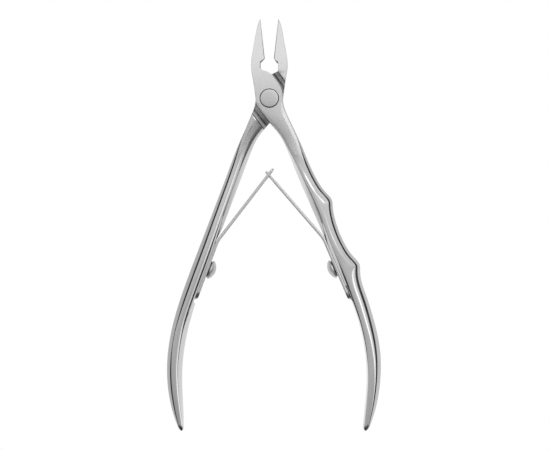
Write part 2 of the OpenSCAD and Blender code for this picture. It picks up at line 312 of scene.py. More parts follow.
def spline(rows, steps):
    """A uniform cubic B-spline along rows of numbers. It starts and ends on the first and last."""
    rows = np.array(rows, float)
    rows = np.vstack([2 * rows[0] - rows[1], rows, 2 * rows[-1] - rows[-2]])
    out = []
    for i in range(1, len(rows) - 2):
        a, b, c, d = rows[i - 1], rows[i], rows[i + 1], rows[i + 2]
        for f in np.arange(steps) / steps:
            out.append(((1 - f) ** 3 * a + (3 * f ** 3 - 6 * f * f + 4) * b
                        + (-3 * f ** 3 + 3 * f * f + 3 * f + 1) * c + f ** 3 * d) / 6)
    out.append(rows[-2])
    return np.array(out)


def lookup(y, knots):
    """The value at y between (y, value) knots."""
    return float(np.interp(y, [k[0] for k in knots], [k[1] for k in knots]))


def plan_normals(points, inside):
    """Unit normals of a plan curve, pointing towards the curve called inside."""
    d = np.gradient(points, axis=0)
    n = np.stack([-d[:, 1], d[:, 0]], axis=1)
    n /= np.linalg.norm(n, axis=1)[:, None]
    toward = np.sum(n * (inside - points), axis=1) > 0
    return np.where(toward[:, None], n, -n)


# ---------------------------------------------------------------- lever blanks
def side_curve(height, side, k):
    """Half a side, from the outline to the face, as (inward offset, height) points. Each part
    is an arc between two tilts, and the band's tilts are what makes the heights add up. Under
    a narrow band the side stands upright. k scales the widths."""
    shelf = max(LEAST_SHELF, side["shelf"])
    share = min(1.0, shelf / FULL_SHELF)
    low = SOFT_LOW + (FACET_LOW - SOFT_LOW) * side["steep"]
    high = SOFT_HIGH + (FACET_HIGH - SOFT_HIGH) * side["steep"]
    over = low + (SHELF - low) * share
    soft = min(high, max(math.radians(side["tilt"]), FACE_SLOPE))
    widths = [w * k for w in (CORNER, side["band"], CORNER, shelf, CORNER * share, side["facet"],
                              side["fall"], side["soft"])]
    # the band's two tilts, now 0, are found below
    tilts = [math.pi / 2, 0, 0, over, over, low, high, soft, FACE_SLOPE]
    counts = [2, 4, 1, 1, 1, 3, 4, 5]
    rise = sum(widths[i] * math.tan((tilts[i] + tilts[i + 1]) / 2) for i in range(3, 8))
    lean = math.radians(70)
    for _ in range(6):
        spread = min(BAND_SPREAD, STEEPEST + math.radians(2) - lean)
        tilts[1], tilts[2] = lean + spread, lean - spread
        edges = (widths[0] * math.tan((tilts[0] + tilts[1]) / 2)
                 + widths[2] * math.tan((tilts[2] + tilts[3]) / 2))
        lean = max(math.atan2(height - rise - edges, widths[1]), FACET_LOW + spread)
        lean = min(lean, STEEPEST)
    points, x, z = [(0.0, 0.0)], 0.0, 0.0
    for w, t0, t1, n in zip(widths, tilts, tilts[1:], counts):
        for i in range(n):
            # tilts change evenly in sine along an arc
            s0 = math.sin(t0) + (math.sin(t1) - math.sin(t0)) * i / n
            s1 = math.sin(t0) + (math.sin(t1) - math.sin(t0)) * (i + 1) / n
            x += w / n
            z += w / n * math.tan((math.asin(s0) + math.asin(s1)) / 2)
            points.append((x, z))
    return points[:1] + [(px, pz + height - z) for px, pz in points[1:]]


def lever_blank(name, handle_plan, shape_a, shape_b, material):
    """A lever before it is cut: sections lofted from the tip of the jaw to the rounded tail."""
    keys = ["band", "shelf", "facet", "steep", "fall", "soft", "tilt"]
    stations = []
    for y, xb, xa in HEAD_PLAN + handle_plan:
        stations.append([y, xb, xa, lookup(y, TOP), lookup(y, BOTTOM)]
                        + [lookup(y, shape_a[k]) for k in keys]
                        + [lookup(y, shape_b[k]) for k in keys])
    rows = spline(stations, STEPS)
    side_a = rows[:, [2, 0]]
    side_b = rows[:, [1, 0]]
    # the tail: both sides close on a half ellipse
    mid = (side_a[-1] + side_b[-1]) / 2
    ahead = mid - (side_a[-4] + side_b[-4]) / 2
    ahead /= np.linalg.norm(ahead)
    tail = np.radians([12, 24, 36, 47, 57, 66, 74, 81, 86])
    grow_a = [mid + (side_a[-1] - mid) * math.cos(a) + ahead * TAIL_DOME * math.sin(a) for a in tail]
    grow_b = [mid + (side_b[-1] - mid) * math.cos(a) + ahead * TAIL_DOME * math.sin(a) for a in tail]
    side_a = np.vstack([side_a, grow_a])
    side_b = np.vstack([side_b, grow_b])
    squeeze = np.concatenate([np.ones(len(rows)), TAIL_THIN + (1 - TAIL_THIN) * np.cos(tail)])
    rows = np.vstack([rows, np.repeat(rows[-1:], len(tail), axis=0)])
    normal_a = plan_normals(side_a, side_b)
    normal_b = plan_normals(side_b, side_a)
    rings = []
    for i, row in enumerate(rows):
        top, bottom = row[3:5]
        a = dict(zip(keys, row[5:12]))
        b = dict(zip(keys, row[12:19]))
        zm = (top + bottom) / 2
        half = (top - bottom) / 2 * squeeze[i]
        width = np.linalg.norm(side_a[i] - side_b[i])
        used = sum(s[k] for s in (a, b) for k in ("band", "shelf", "facet", "fall", "soft"))
        used += 6 * CORNER
        k = min(1.0, SIDES_SHARE * width / used)
        crown = (width - used * k) * math.tan(FACE_SLOPE) / 4
        h = half - crown
        up_a = [(*(side_a[i] + normal_a[i] * d), zm + z) for d, z in side_curve(h, a, k)]
        up_b = [(*(side_b[i] + normal_b[i] * d), zm + z) for d, z in side_curve(h, b, k)]
        face = []
        for u in np.linspace(0, 1, FACE_N + 2)[1:-1]:
            x = up_a[-1][0] * (1 - u) + up_b[-1][0] * u
            y = up_a[-1][1] * (1 - u) + up_b[-1][1] * u
            face.append((x, y, zm + h + crown * (1 - (2 * u - 1) ** 2)))
        over = up_a + face + up_b[::-1]
        under = [(x, y, 2 * zm - z) for x, y, z in over[::-1]][1:-1]
        rings.append(over + under)
    return loft(name, rings, [material])


# ---------------------------------------------------------------- cutters of the levers
SHOULDER_LEAN = math.radians(16)     # eased edges of the laps' shoulders
SHOULDER_BACK, SHOULDER_OVER = 0.3, 1.5      # from a shoulder into the face, and over the lap
SEAT_GAP = 0.02                      # between a spring's foot and its seat
BORE_CHAMFER = 0.12                  # depth of a bore's chamfer


def line_axes(line):
    """Unit vectors along a plan line and to its left."""
    along = (line[1] - line[0]) / np.linalg.norm(line[1] - line[0])
    return along, np.array([-along[1], along[0]])


def stretch(line, d):
    """The ends of a plan line, each moved outwards by d."""
    along = line_axes(line)[0]
    return [line[0] - d * along, line[1] + d * along]


def lap_cutter(from_front, material):
    """Takes away half of the joint between the two shoulders, from the front or the back."""
    plan = stretch(TOP_SHOULDER, 10) + stretch(LOW_SHOULDER, 10)
    low, high = MID_Z - LAP_GAP / 2, JOINT_T + 1
    if not from_front:
        low, high = -1, MID_Z + LAP_GAP / 2
    return prism("lap_cutter", plan, [(low, 0), (high, 0)], material)


def groove_cutter(line, near, far, material):
    """A shallow groove milled in the lap along a shoulder, between two distances from it."""
    across = line_axes(line)[1]
    floor_z = MID_Z - LAP_GAP / 2
    middle, half = (near + far) / 2, (far - near) / 2
    depth = half * math.tan(GROOVE_TILT)
    rings = []
    for p in stretch(line, 6):
        rings.append([(*(p + across * middle), floor_z - depth),
                      (*(p + across * (middle + half * 2)), floor_z + depth),
                      (*(p + across * (middle - half * 2)), floor_z + depth)])
    return loft("groove_cutter", rings, [material])


def shoulder_cutter(line, height, outward, material):
    """Eases the edge of a lap shoulder: a block whose one side leans into the lever towards
    the lap. height gives the face's height at the two ends of the line, and outward is 1 on
    the front face and -1 on the back."""
    past, tall = 2, 4
    across = line_axes(line)[1]
    grade = (height[1] - height[0]) / np.linalg.norm(line[1] - line[0])
    fall = (SHOULDER_BACK + SHOULDER_OVER) * math.tan(SHOULDER_LEAN)
    rings = []
    for p, z in zip(stretch(line, past), (height[0] - grade * past, height[1] + grade * past)):
        near = p - across * SHOULDER_BACK
        far = p + across * SHOULDER_OVER
        end = z + tall * outward
        rings.append([(*near, z), (*far, z - fall * outward), (*far, end), (*near, end)])
    return loft("shoulder_cutter", rings, [material])


def notch_cutter(plan, flare, material):
    """The notch behind the blades, flared towards the front face."""
    flare_low, flare_high, flare_out = 5.68, 6.5, 0.98
    levels = [(-1, 0), (flare_low, 0), (flare_high, flare_out)]
    return prism("notch_cutter", plan, levels, material, flare)


def ground_height(y):
    """Height of the ground front face."""
    return lookup(y, TOP) - lookup(y, GROUND_BELOW)


def side_block(name, plan, material):
    """A cutter with the same (y, z) outline all the way across a lever."""
    rings = [[(x, y, z) for y, z in plan] for x in (-20, 20)]
    return loft(name, rings, [material])


def grind_cutter(handle_plan, material):
    """The ground front face of joint and jaws, as a block above a smooth line along y. It has
    the lever's own stations, so that it runs out along the crest without a step."""
    behind, ahead, above, drop = -27, 26, 12, 0.2
    line = [[row[0], ground_height(row[0])] for row in HEAD_PLAN + handle_plan if row[0] > behind]
    line = [(ahead, line[0][1] - drop)] + [tuple(p) for p in spline(line, STEPS)]
    return side_block("grind_cutter", line + [(line[-1][0], above), (ahead, above)], material)


def back_cutter(material):
    """The flat ground back of the joint."""
    plan = [(-26, -0.3), (-24.5, 0.005), (26, 0.005), (26, -9), (-26, -9)]
    return side_block("back_cutter", plan, material)


def blade_cutter(material):
    """Grinds the jaw back to its cutting edge: narrow bevel in front, hollow behind. It is
    drawn along y with the edge at x = 0, tilted with the fall of the face and then turned."""
    bevel_w, bevel_h = 0.08, 0.05
    deep, wide, tall = 8, 6, 3
    hollow = [(-(0.42 * t - 0.022 * t * t), -t - bevel_h) for t in np.linspace(0, deep, 17)]
    profile = [(-bevel_w * 3, bevel_h * 2)] + hollow + [(wide, -deep - bevel_h), (wide, tall)]
    falls_from, below_top = 8, 0.19
    reach, fall = 16, 1.71
    start = EDGE_START - falls_from
    rings = [[(x, s, z) for x, z in profile] for s in (start, start + reach)]
    place = (Matrix.Rotation(OPEN_HALF, 4, "Z")
             @ Matrix.Translation((0, falls_from, JOINT_T - below_top))
             @ Matrix.Rotation(-math.atan2(fall, reach), 4, "X"))
    return loft("blade_cutter", rings, [material], place)


def bore_cutter(radius, low, high, material, flare=0.0):
    """A round hole, with a small chamfer at its front where a flare is given."""
    profile = [(0, low), (radius, low)]
    if flare:
        profile.append((radius, high - BORE_CHAMFER))
    profile += [(radius + flare, high), (0, high)]
    return revolve("bore_cutter", profile, material)


def seat_frame(bend, lie, flipped):
    """The frame of a spring's foot: x away from the handle, y up along it, z as the part's."""
    flip = Matrix.Scale(-1, 4, (1, 0, 0)) if flipped else Matrix.Identity(4)
    return Matrix.Translation((bend[0], bend[1], MID_Z)) @ Matrix.Rotation(lie, 4, "Z") @ flip


LEFT_SEAT = seat_frame(LEFT_BEND, LEFT_LIE, False)
RIGHT_SEAT = seat_frame(RIGHT_BEND, RIGHT_LIE, True)


def seat_cutter(place, foot, material):
    """The seat milled for a spring's foot, with a ramp at each end and a bevel in front."""
    low = -foot - 0.6
    ramp, clear, above = 1.5, 4, 4.5
    plan = [(0, 0.3), (0, low), (ramp, low - ramp), (clear, low - ramp), (clear, above), (0.6, above)]
    plan = [(x - LEAF_T / 2 - SEAT_GAP, y) for x, y in plan]
    tall, bevel_low, bevel_high, bevel_out = 4, 2.54, 2.69, 0.2
    levels = [(-tall, 0), (bevel_low, 0), (bevel_high, bevel_out), (tall, bevel_out)]
    return prism("seat_cutter", plan, levels, material, [1.0, 0, 0, 0, 0, 0.6], place)


def mirror(obj):
    """Mirrors a piece left to right and turns its faces the right way out again."""
    obj.data.transform(Matrix.Scale(-1, 4, (1, 0, 0)))
    obj.data.flip_normals()


# ---------------------------------------------------------------- materials
def node(tree, kind, **inputs):
    """A new node with some inputs set. An underscore stands for a space in an input's name."""
    n = tree.nodes.new(kind)
    for k, v in inputs.items():
        n.inputs[k.replace("_", " ")].default_value = v
    return n


def math_node(tree, kind, *values):
    """The result of a Math node on numbers and other nodes' outputs."""
    n = tree.nodes.new("ShaderNodeMath")
    n.operation = kind
    for socket, v in zip(n.inputs, values):
        if isinstance(v, (int, float)):
            socket.default_value = v
        else:
            tree.links.new(v, socket)
    return n.outputs["Value"]


def rescale(tree, source, low, high, low_value, high_value, kind="SMOOTHSTEP"):
    """Turns low..high of a value into low_value..high_value, and holds it outside them."""
    n = node(tree, "ShaderNodeMapRange", From_Min=low, From_Max=high, To_Min=low_value,
             To_Max=high_value)
    n.interpolation_type = kind
    tree.links.new(source, n.inputs["Value"])
    return n.outputs["Result"]


def axes(tree, source):
    """The X, Y and Z outputs of a vector."""
    split = tree.nodes.new("ShaderNodeSeparateXYZ")
    tree.links.new(source, split.inputs["Vector"])
    return [split.outputs[axis] for axis in "XYZ"]


def steel(name, color, rough, spread, streak=(6, 1, 6), scale=900.0, grain_um=0.3, blotch=0.04,
          turn=0.0, satin_above=None):
    """Bare steel. Its roughness and height follow streaks left by grinding or polishing, its
    colour has faint cloudy variation, and its sharp edges are painted a little brighter: partly
    rubbing wear, partly a painted highlight of their roundings. Streaks can be turned about z.
    satin_above = (y from, y to, roughness) makes one end of a piece duller."""
    m = bpy.data.materials.new(name)
    m.use_nodes = True
    tree = m.node_tree
    tree.nodes.clear()
    out = tree.nodes.new("ShaderNodeOutputMaterial")
    shader = tree.nodes.new("ShaderNodeBsdfPrincipled")
    shader.inputs["Metallic"].default_value = 1.0
    tree.links.new(shader.outputs["BSDF"], out.inputs["Surface"])
    coord = tree.nodes.new("ShaderNodeTexCoord")
    turned = tree.nodes.new("ShaderNodeMapping")
    turned.inputs["Rotation"].default_value = (0, 0, turn)
    tree.links.new(coord.outputs["Object"], turned.inputs["Vector"])
    squash = tree.nodes.new("ShaderNodeMapping")
    squash.inputs["Scale"].default_value = streak
    tree.links.new(turned.outputs["Vector"], squash.inputs["Vector"])
    grain = node(tree, "ShaderNodeTexNoise", Scale=scale, Detail=3.0, Roughness=0.55)
    tree.links.new(squash.outputs["Vector"], grain.inputs["Vector"])
    cloud = node(tree, "ShaderNodeTexNoise", Scale=260.0, Detail=3.0, Roughness=0.5)
    tree.links.new(coord.outputs["Object"], cloud.inputs["Vector"])

    def spread_of(noise, low, high):
        """Spreads a noise's usual range over low..high."""
        return rescale(tree, noise.outputs["Fac"], 0.3, 0.7, low, high, "LINEAR")

    # roughness: streaks and clouds added
    cloudy = spread * 0.6
    total = math_node(tree, "ADD", spread_of(grain, rough - spread, rough + spread),
                      spread_of(cloud, -cloudy, cloudy))
    if satin_above:
        low, high, dull = satin_above
        along = axes(tree, coord.outputs["Object"])[1]
        more = rescale(tree, along, low * MM, high * MM, 0.0, dull - rough)
        total = math_node(tree, "ADD", total, more)
    tree.links.new(total, shader.inputs["Roughness"])
    # colour: clouds, streaks, and sharp edges painted brighter as rubbing wear and as a painted
    # highlight
    tint = tree.nodes.new("ShaderNodeMix")
    tint.data_type = "RGBA"
    tint.inputs["A"].default_value = (*[c * (1 - blotch) for c in color], 1)
    tint.inputs["B"].default_value = (*[min(1, c * (1 + blotch)) for c in color], 1)
    both = math_node(tree, "MULTIPLY_ADD", spread_of(grain, 0, 1), 0.6, spread_of(cloud, 0, 0.4))
    tree.links.new(both, tint.inputs["Factor"])
    # sharp edges made lighter: partly rubbing wear, partly a painted highlight
    geometry = tree.nodes.new("ShaderNodeNewGeometry")
    sharp = rescale(tree, geometry.outputs["Pointiness"], 0.52, 0.62, 0, 0.06, "LINEAR")
    rubbed_and_highlit = tree.nodes.new("ShaderNodeMix")
    rubbed_and_highlit.data_type = "RGBA"
    rubbed_and_highlit.inputs["B"].default_value = (0.95, 0.95, 0.95, 1)
    tree.links.new(sharp, rubbed_and_highlit.inputs["Factor"])
    tree.links.new(tint.outputs["Result"], rubbed_and_highlit.inputs["A"])
    tree.links.new(rubbed_and_highlit.outputs["Result"], shader.inputs["Base Color"])
    # height of the streaks
    height = node(tree, "ShaderNodeBump", Strength=1.0, Distance=grain_um * 1e-6)
    tree.links.new(grain.outputs["Fac"], height.inputs["Height"])
    tree.links.new(height.outputs["Normal"], shader.inputs["Normal"])
    return m


SHOULDER_TURN = -math.atan2(LOW_SHOULDER[1][1] - LOW_SHOULDER[0][1],
                            -(LOW_SHOULDER[1][0] - LOW_SHOULDER[0][0]))
LEVER = steel("lever_steel_polished", (0.57, 0.57, 0.575), 0.15, 0.03, grain_um=0.25,
              satin_above=(-20, -14.5, 0.36))
# The back lever gets a darker copy of the same polished steel: painted shade on the left-hand lever.
SHADED_BACK_LEVER = steel("back_lever_steel_painted_shade", (0.53, 0.53, 0.535), 0.15, 0.03, grain_um=0.25,
                   satin_above=(-20, -14.5, 0.36))
GROUND = steel("lever_steel_ground", (0.62, 0.62, 0.625), 0.42, 0.04, streak=(3, 1, 1), scale=2500.0,
               grain_um=1.2)
# The laps' floors get a much darker steel: painted shade of the recessed laps, with grinding streaks
# across it.
LAP_PAINTED_SHADE = steel("lap_steel_painted_shade", (0.30, 0.30, 0.303), 0.36, 0.08, streak=(1, 30, 1), scale=55.0,
            grain_um=2.0, blotch=0.95, turn=SHOULDER_TURN)
# Near-black steel for the bores, the ring round the rivet's head, and the screws' slots and
# undersides: painted shade in holes and under heads.
BORE_PAINTED_SHADE = steel("bore_steel_painted_shade", (0.10, 0.10, 0.10), 0.5, 0.05)
SPRING = steel("spring_steel_bright", (0.52, 0.52, 0.525), 0.30, 0.04, streak=(5, 5, 1), grain_um=0.15)
# Much lighter steel for the springs' flats than for their edges: painted light that brightens the
# handles beside them.
FLATS_PAINTED_LIGHT = steel("spring_steel_flats_painted_light", (0.84, 0.84, 0.845), 0.18, 0.04, streak=(5, 5, 1), grain_um=0.15)
RIVET = steel("rivet_steel_ground", (0.56, 0.56, 0.565), 0.36, 0.05, streak=(1, 1, 1), scale=2500.0,
              grain_um=0.8)
SCREW = steel("screw_steel_plated", (0.48, 0.48, 0.485), 0.40, 0.05, streak=(1, 1, 1))


# ---------------------------------------------------------------- the levers
def build_lever(name, plan, shape_a, shape_b, seat, foot, is_back):
    """One lever, with its jaw, lap, bores and spring seat. The back lever is mirrored."""
    # the back lever's darker steel is painted shade
    steel_of = SHADED_BACK_LEVER if is_back else LEVER
    lever = lever_blank(name, plan, shape_a, shape_b, steel_of)
    notch, flare = (BACK_NOTCH, BACK_NOTCH_FLARE) if is_back else (FRONT_NOTCH, FRONT_NOTCH_FLARE)
    # cut faces take the cutters' steels; the lap's darker steel is painted shade
    cutters = [grind_cutter(plan, GROUND), back_cutter(GROUND), blade_cutter(GROUND),
               lap_cutter(is_back, LAP_PAINTED_SHADE), notch_cutter(notch, flare, GROUND)]
    for line in (TOP_SHOULDER, LOW_SHOULDER):
        height = [ground_height(p[1]) for p in line] if is_back else [0, 0]
        cutters.append(shoulder_cutter(line, height, 1 if is_back else -1, GROUND))
    if is_back:
        for line, grooves in ((TOP_SHOULDER, TOP_GROOVES), (LOW_SHOULDER, LOW_GROOVES)):
            cutters += [groove_cutter(line, near, far, LAP_PAINTED_SHADE) for near, far in grooves]
    cut(lever, cutters)
    # the bores' walls get the near-black steel: painted shade inside the holes
    through = (-1, 9)
    if is_back:
        mirror(lever)
        holes = [bore_cutter(SHANK_R, *through, BORE_PAINTED_SHADE),
                 bore_cutter(TAIL_R + 0.005, -0.12, TAIL_H, BORE_PAINTED_SHADE)]
    else:
        holes = [bore_cutter(SHANK_R + LAP_GAP, *through, BORE_PAINTED_SHADE),
                 bore_cutter(HEAD_R + HEAD_GAP, JOINT_T - HEAD_H - LAP_GAP / 2, JOINT_T + 0.03,
                             BORE_PAINTED_SHADE, flare=0.1)]
    cut(lever, holes + [seat_cutter(seat, foot, steel_of)])
    shade(lever)
    return lever


front = build_lever("front_lever_forging", FRONT_PLAN, FRONT_A, FRONT_B, RIGHT_SEAT, RIGHT_FOOT,
                    False)
back = build_lever("back_lever_forging", BACK_PLAN, BACK_A, BACK_B, LEFT_SEAT, LEFT_FOOT, True)
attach(front, "front_lever")
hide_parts("front_lever")
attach(back, "back_lever")
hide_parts("back_lever")

# ---------------------------------------------------------------- rivet
# The crowned head, from its rim to the axis, as (radius, depth below the top) points.
HEAD_CROWN = [(HEAD_R, 0.13), (HEAD_R - 0.03, 0.09), (HEAD_R - 0.1, 0.06), (HEAD_R - 0.2, 0.05),
              (1.6, 0.018), (0.7, 0.003), (0, 0)]
rivet_profile = [(0, 0.0), (TAIL_R - TAIL_CHAMFER, 0.0), (TAIL_R, TAIL_CHAMFER), (TAIL_R, TAIL_H),
                 (SHANK_R, TAIL_H), (SHANK_R, JOINT_T - HEAD_H), (HEAD_R, JOINT_T - HEAD_H)]
rivet_profile += [(r, JOINT_T - below) for r, below in HEAD_CROWN]
rivet = revolve("rivet", rivet_profile, RIVET)
shade(rivet)
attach(rivet, "back_lever")
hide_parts("pivot_rivet")


# ---------------------------------------------------------------- leaf springs
BEND_L = 1.4                             # the bend takes up this much of each straight
TIP_L = 4.4                              # end of a blade where its shape changes
LEFT_PAST, RIGHT_PAST = 2.6, 1.4         # tips past the crossing
FOOT_W, TIP_W, TONGUE_W = 5.4, 4.6, 2.0
TONGUE_START, TONGUE_SHOULDER = 2.3, 0.45    # before the crossing, and over this length
WINDOW_L, WINDOW_W = 2.7, 2.4
ROUND_NEAR, ROUND_FAR = 0.22, 0.13       # edges of a strip, near its handle and away from it


def strip_path(bend, lie, past, foot):
    """Plan points of a strip's middle line from the foot's end to the tip, with a bend of
    small radius, and the distance of each from the bend."""
    down = np.array([math.sin(lie), -math.cos(lie)])
    up = (CROSS - bend) / np.linalg.norm(CROSS - bend)
    reach = np.linalg.norm(CROSS - bend) + past
    points = [(bend + down * s, -s) for s in np.linspace(foot, BEND_L, 100)]
    start, end = bend + down * BEND_L, bend + up * BEND_L
    for t in np.linspace(0, 1, 9)[1:-1]:
        p = (1 - t) ** 2 * start + 2 * t * (1 - t) * bend + t * t * end
        points.append((p, BEND_L * (2 * t - 1)))
    points += [(bend + up * s, s) for s in np.linspace(BEND_L, reach - TIP_L, 60)[:-1]]
    points += [(bend + up * s, s) for s in np.linspace(reach - TIP_L, reach, 90)]
    return points, reach


def strip_mesh(name, path, width_at, thick_at, handle_side):
    """Sweeps a rounded rectangle along the path. The foot's thin end keeps to its handle,
    which is on the left (1) or the right (-1) of the path. The narrow edges have their own
    steel, and the flats a much lighter one: painted light that brightens the handles' sides
    beside them."""
    plan = np.array([p for p, s in path])
    d = np.gradient(plan, axis=0)
    n = np.stack([-d[:, 1], d[:, 0]], axis=1)
    n /= np.linalg.norm(n, axis=1)[:, None]
    rings = []
    for i, (p, s) in enumerate(path):
        w, t = width_at(s) / 2, thick_at(s) / 2
        shift = handle_side * (LEAF_T / 2 - t) if s < 0 else 0
        ring = []
        for side_x, side_z, a0 in ((1, 1, 0), (-1, 1, 90), (-1, -1, 180), (1, -1, 270)):
            r = ROUND_NEAR if side_x == handle_side else ROUND_FAR
            r = min(r, w * 0.6, t * 0.7)
            for a in np.radians(a0 + np.array([0, 30, 60, 90])):
                x = side_x * (t - r) + r * math.cos(a) + shift
                q = p + n[i] * x
                ring.append((q[0], q[1], MID_Z + side_z * (w - r) + r * math.sin(a)))
        rings.append(ring)
    strip = loft(name, rings, [SPRING, FLATS_PAINTED_LIGHT])
    # the flats get the lighter steel: painted light
    for face in strip.data.polygons:
        if abs(face.normal.z) < 0.5:
            face.material_index = 1
    return strip


def rounded(s, end, over, least):
    """The share of a size that is left at s, where an end is rounded over a length. At least
    the given share is left."""
    x = min(1.0, max(0.0, (end - s) / over))
    return max(least, math.sqrt(max(0.0, 1 - (1 - x) ** 2)))


left_path, left_reach = strip_path(LEFT_BEND, LEFT_LIE, LEFT_PAST, LEFT_FOOT)
right_path, right_reach = strip_path(RIGHT_BEND, RIGHT_LIE, RIGHT_PAST, RIGHT_FOOT)
right_cross = right_reach - RIGHT_PAST


def foot_width(s, foot):
    """A foot has an even width and a round end."""
    return FOOT_W * rounded(-s, foot, over=FOOT_W / 2, least=0.12)


def foot_share(s, foot):
    """A foot thins out at its end."""
    return rounded(-s, foot, over=1.2, least=0.25)


def left_width(s):
    """The left blade narrows towards a tip with rounded corners."""
    if s < 0:
        return foot_width(s, LEFT_FOOT)
    w = FOOT_W + (TIP_W - FOOT_W) * s / left_reach
    return w * rounded(s, left_reach, over=1.1, least=0.45)


def left_thick(s):
    """The left blade thins out at its tip."""
    return LEAF_T * rounded(s, left_reach, over=1.7, least=0.2) * foot_share(s, LEFT_FOOT)


def right_width(s):
    """The right blade narrows towards its shoulders, where the tongue starts."""
    if s < 0:
        return foot_width(s, RIGHT_FOOT)
    w = FOOT_W + (TIP_W - FOOT_W) * s / right_cross
    shoulder = min(1, max(0, (s - right_cross + TONGUE_START) / TONGUE_SHOULDER))
    shoulder = shoulder * shoulder * (3 - 2 * shoulder)
    w = w + (TONGUE_W - w) * shoulder
    return w * rounded(s, right_reach, over=0.7, least=0.4)


def right_thick(s):
    """The right blade is a little thinner at the tongue."""
    thin = 1 - 0.12 * min(1, max(0, (s - right_cross + 3) / 1.5))
    return LEAF_T * thin * rounded(s, right_reach, over=0.6, least=0.3) * foot_share(s, RIGHT_FOOT)


left_leaf = strip_mesh("left_leaf_spring", left_path, left_width, left_thick, 1)
left_up = Vector((*(CROSS - LEFT_BEND), 0)).normalized()
window_turn = Matrix.Rotation(math.atan2(-left_up.x, left_up.y), 4, "Z")
window = prism("window_cutter",
               [(-2, -WINDOW_L / 2), (2, -WINDOW_L / 2), (2, WINDOW_L / 2), (-2, WINDOW_L / 2)],
               [(-WINDOW_W / 2, 0), (WINDOW_W / 2, 0)], SPRING,
               place=Matrix.Translation((CROSS[0], CROSS[1], MID_Z)) @ window_turn)
cut(left_leaf, [window])
right_leaf = strip_mesh("right_leaf_spring", right_path, right_width, right_thick, -1)
for leaf, root, blade, bend in ((left_leaf, "back_lever", "left_spring", LEFT_BEND),
                                (right_leaf, "front_lever", "right_spring", RIGHT_BEND)):
    shade(leaf, 40)
    side = blade.split("_")[0]
    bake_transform(leaf)
    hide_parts(side + "_spring_foot", side + "_spring_blade")


# ---------------------------------------------------------------- spring screws
SCREW_HEAD_R, SCREW_NECK_R, SCREW_SHANK_R = 2.85, 2.5, 1.1
SCREW_GAP = 0.32                         # under the head's edge
SCREW_RIM, SCREW_TOP = 0.85, 2.13        # the domed head starts and ends this far from the foot
SLOT_HALF, SLOT_DEEP = 0.35, 0.75


def screw(name, seat, down, body, node_name):
    """A screw with a domed, slotted head, standing on a spring's foot."""
    dome = SCREW_TOP - SCREW_RIM
    ball = (SCREW_HEAD_R ** 2 + dome ** 2) / (2 * dome)
    profile = [(0, -LEAF_T), (SCREW_SHANK_R, -LEAF_T), (SCREW_SHANK_R, 0.0), (SCREW_NECK_R, 0.0),
               (SCREW_NECK_R, SCREW_GAP - 0.06), (SCREW_HEAD_R - 0.1, SCREW_GAP),
               (SCREW_HEAD_R - 0.03, SCREW_GAP + 0.05), (SCREW_HEAD_R, SCREW_GAP + 0.13),
               (SCREW_HEAD_R, SCREW_RIM)]
    for a in np.linspace(math.asin(SCREW_HEAD_R / ball), 0.03, 16)[1:]:
        profile.append((ball * math.sin(a), SCREW_TOP - ball * (1 - math.cos(a))))
    profile.append((0, SCREW_TOP))
    place = (seat @ Matrix.Translation((LEAF_T / 2, -down, 0))
             @ Matrix.Rotation(math.pi / 2, 4, "Y"))
    piece = revolve(name, profile, SCREW, place)
    # everything under the head gets the near-black steel: painted shade under the head
    piece.data.materials.append(BORE_PAINTED_SHADE)
    back = place.inverted()
    for face in piece.data.polygons:
        if (back @ (face.center / MM)).z < SCREW_GAP:
            face.material_index = 1
    # the slot's walls get the near-black steel too: painted shade in the slot
    slot = prism("slot_cutter",
                 [(-SLOT_HALF, -9), (SLOT_HALF, -9), (SLOT_HALF, 9), (-SLOT_HALF, 9)],
                 [(SCREW_TOP - SLOT_DEEP, 0), (SCREW_TOP + 1, 0)], BORE_PAINTED_SHADE, place=place)
    cut(piece, [slot])
    shade(piece, 35)
    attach(piece, body)
    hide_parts(node_name)


screw("left_screw", LEFT_SEAT, LEFT_SCREW, "back_lever", "left_spring_screw")
screw("right_screw", RIGHT_SEAT, RIGHT_SCREW, "front_lever", "right_spring_screw")


# ---------------------------------------------------------------- floor, light and camera
def split_by_camera(tree, output_kind, light_kind):
    """White for what the camera sees by itself. Returns the part that lights the tool."""
    out = tree.nodes.new(output_kind)
    seen = node(tree, light_kind, Color=(1, 1, 1, 1), Strength=1.0)
    lit = node(tree, light_kind, Color=(1, 1, 1, 1), Strength=1.0)
    pick = tree.nodes.new("ShaderNodeMixShader")
    path = tree.nodes.new("ShaderNodeLightPath")
    tree.links.new(path.outputs["Is Camera Ray"], pick.inputs["Fac"])
    tree.links.new(lit.outputs[0], pick.inputs[1])
    tree.links.new(seen.outputs[0], pick.inputs[2])
    tree.links.new(pick.outputs["Shader"], out.inputs["Surface"])
    return lit


BOW_Y, BOW_X, BOW_BEND = 0.082, 0.0325, 5.0      # the handles' bow on the floor, in metres
GLOW_INSIDE, GLOW_OUTSIDE = 1.12, 0.71           # of the floor, between and outside the handles
GLOW_RIGHT = 0.14                                # more on the right handle's outside, low down


